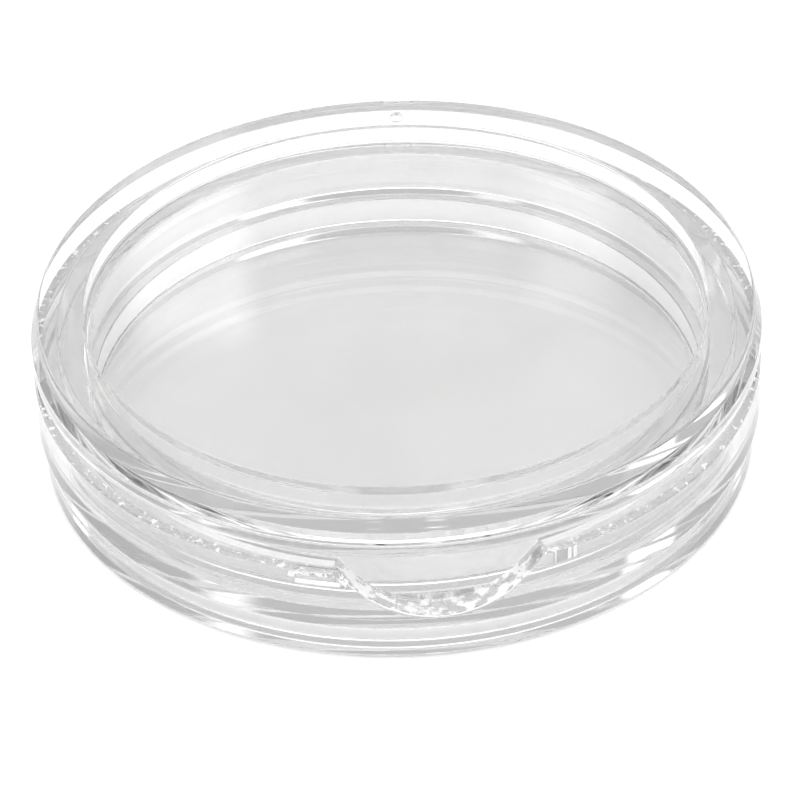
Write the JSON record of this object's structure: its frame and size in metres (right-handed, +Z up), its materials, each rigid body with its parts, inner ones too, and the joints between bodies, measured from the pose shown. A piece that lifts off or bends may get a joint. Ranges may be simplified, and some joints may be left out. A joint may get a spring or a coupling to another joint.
{
  "type": "coin capsule",
  "caption": "Round clear coin capsule: a lid whose skirt slides into a shallow base with a fingernail notch and a coin seat.",
  "frame": {"origin": "middle of the face that the capsule stands on", "axes": "+Z up along the capsule's axis, out of the lid; the base's fingernail notch faces -Y"},
  "size_m": [0.03, 0.03, 0.007],
  "materials": {
    "base_clear": "clear polished moulding",
    "lid_clear": "clear polished moulding"
  },
  "bodies": {
    "base": {"base": "base_clear"},
    "lid": {"lid": "lid_clear"}
  },
  "joints": [
    {"name": "lid_lift", "type": "slide", "parent": "base", "child": "lid", "axis": [0, 0, 1], "range_m": [0, 0.02]}
  ]
}
